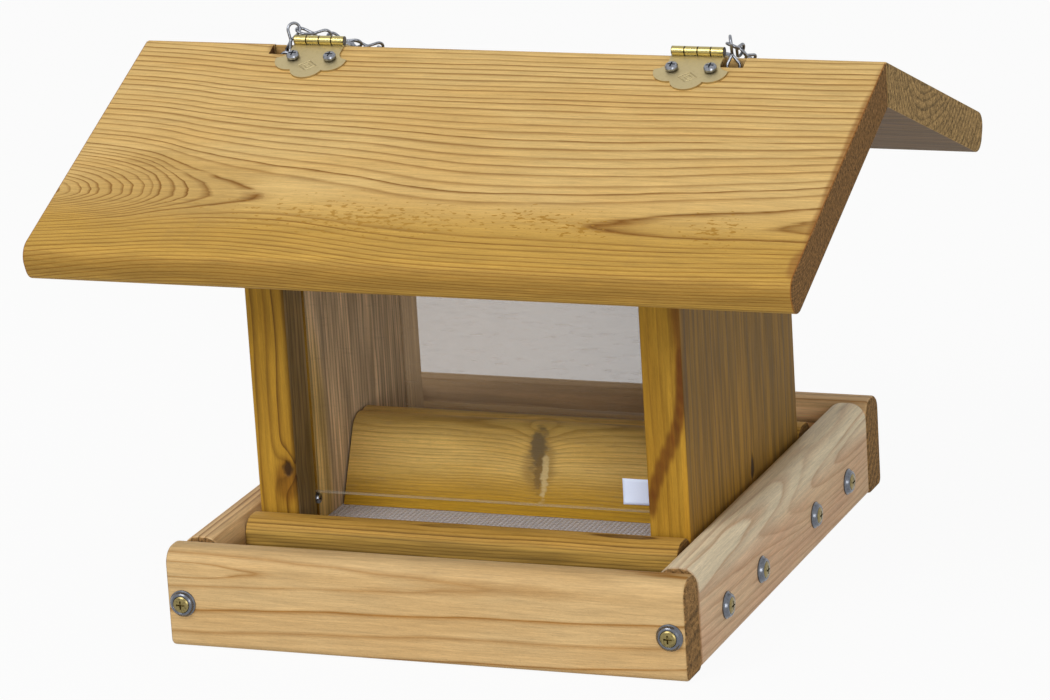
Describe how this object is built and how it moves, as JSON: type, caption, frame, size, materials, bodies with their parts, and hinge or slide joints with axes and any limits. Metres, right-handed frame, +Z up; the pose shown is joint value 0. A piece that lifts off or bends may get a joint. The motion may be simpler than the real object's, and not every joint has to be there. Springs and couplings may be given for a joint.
{
  "type": "hopper bird feeder",
  "caption": "Cedar hopper bird feeder with a hinged roof lid, clear sliding panes, seed deflector, mesh floor, perch rails and a hanging chain.",
  "frame": {"origin": "middle of the feeder's footprint, on the plane that the perch rails stand on", "axes": "+X along the ridge to the right, -Y towards the front with the hinged lid, +Z up"},
  "size_m": [0.414, 0.3356, 0.294],
  "materials": {
    "cedar": "sanded cedar, unsealed",
    "brass": "brass plated, satin leaves and polished barrels",
    "zinc": "bright zinc plated",
    "screws": "yellow zinc plated",
    "mesh": "mill-finish mesh",
    "pane": "clear sheet"
  },
  "bodies": {
    "feeder": {"front_perch_rail": "cedar", "back_perch_rail": "cedar", "left_side_rail": "cedar", "right_side_rail": "cedar", "front_cross_rail": "cedar", "back_cross_rail": "cedar", "left_end_wall": "cedar", "right_end_wall": "cedar", "front_seed_deflector": "cedar", "back_seed_deflector": "cedar", "back_roof_board": "cedar", "left_hinge_back_leaf": "brass", "left_hinge_pin": "brass", "right_hinge_back_leaf": "brass", "right_hinge_pin": "brass", "back_leaf_screws": "zinc", "perch_rail_washers": "zinc", "side_rail_washers": "zinc", "roof_board_washers": "zinc", "pane_stop_screws": "zinc", "chain_anchor_screws": "zinc", "hanging_chain": "zinc", "perch_rail_screws": "screws", "side_rail_screws": "screws", "roof_board_screws": "screws", "floor_screen": "mesh"},
    "lid": {"front_roof_board": "cedar", "left_hinge_front_leaf": "brass", "right_hinge_front_leaf": "brass", "front_leaf_screws": "zinc"},
    "front_window": {"front_pane": "pane"},
    "back_window": {"back_pane": "pane"}
  },
  "joints": [
    {"name": "lid_hinge", "type": "hinge", "parent": "feeder", "child": "lid", "pos_m": [0, 0, 0.28471], "axis": [-1, 0, 0], "range_deg": [0, 110]},
    {"name": "front_pane_lift", "type": "slide", "parent": "feeder", "child": "front_window", "axis": [0, 0, 1], "range_m": [0, 0.004]},
    {"name": "back_pane_lift", "type": "slide", "parent": "feeder", "child": "back_window", "axis": [0, 0, 1], "range_m": [0, 0.004]}
  ]
}
